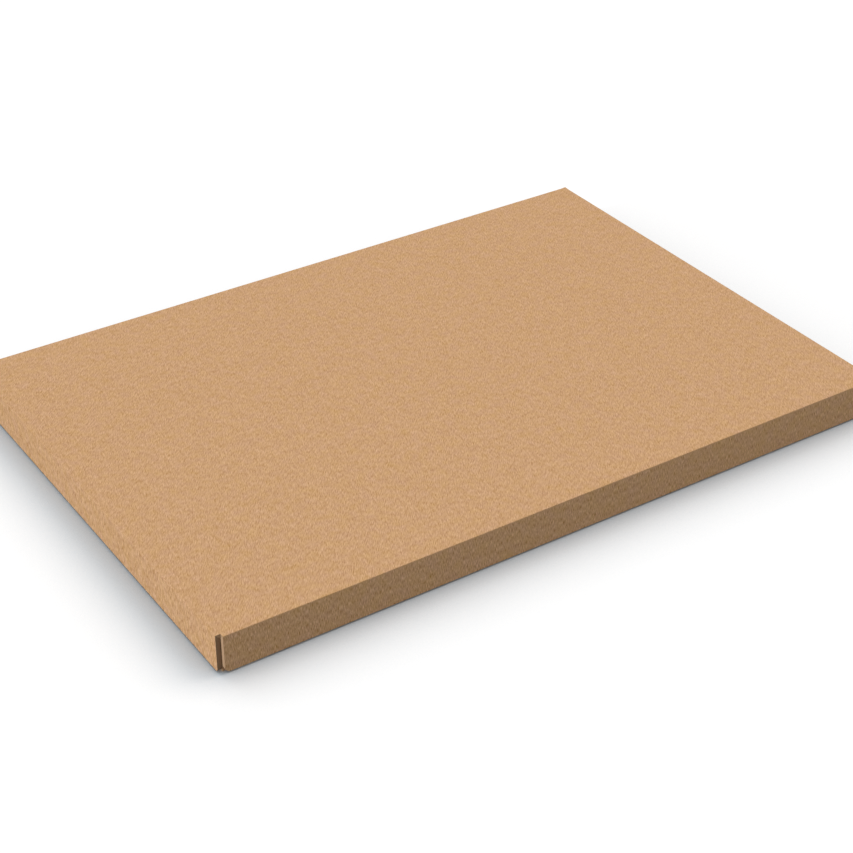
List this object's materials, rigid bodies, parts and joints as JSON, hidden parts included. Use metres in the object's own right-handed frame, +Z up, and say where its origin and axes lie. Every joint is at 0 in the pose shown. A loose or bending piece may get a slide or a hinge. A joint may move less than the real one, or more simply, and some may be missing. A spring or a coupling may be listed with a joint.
{
  "type": "shallow cardboard mailing box",
  "caption": "Shallow closed mailing box of kraft board: a tray with a rolled, tongue-locked front wall and a hinged lid whose front and side flaps hang outside the tray.",
  "frame": {"origin": "middle of the footprint, at the level of the surface the box stands on", "axes": "+X along the long side, +Y towards the lid's hinge at the back, +Z up"},
  "size_m": [0.345, 0.24, 0.019],
  "materials": {
    "kraft_board": "matt brown kraft paper, finely speckled"
  },
  "bodies": {
    "tray": {"tray": "kraft_board"},
    "lid": {"lid": "kraft_board"},
    "front_flap": {"front_flap": "kraft_board"},
    "left_flap": {"left_flap": "kraft_board"},
    "right_flap": {"right_flap": "kraft_board"}
  },
  "joints": [
    {"name": "lid_hinge", "type": "hinge", "parent": "tray", "child": "lid", "pos_m": [0, 0.11991, 0.01891], "axis": [-1, 0, 0], "range_deg": [0, 180]},
    {"name": "front_flap_fold", "type": "hinge", "parent": "lid", "child": "front_flap", "pos_m": [0, -0.11991, 0.01891], "axis": [-1, 0, 0], "range_deg": [0, 90]},
    {"name": "left_flap_fold", "type": "hinge", "parent": "lid", "child": "left_flap", "pos_m": [-0.17241, 0, 0.01891], "axis": [0, 1, 0], "range_deg": [0, 90]},
    {"name": "right_flap_fold", "type": "hinge", "parent": "lid", "child": "right_flap", "pos_m": [0.17241, 0, 0.01891], "axis": [0, -1, 0], "range_deg": [0, 90]}
  ]
}
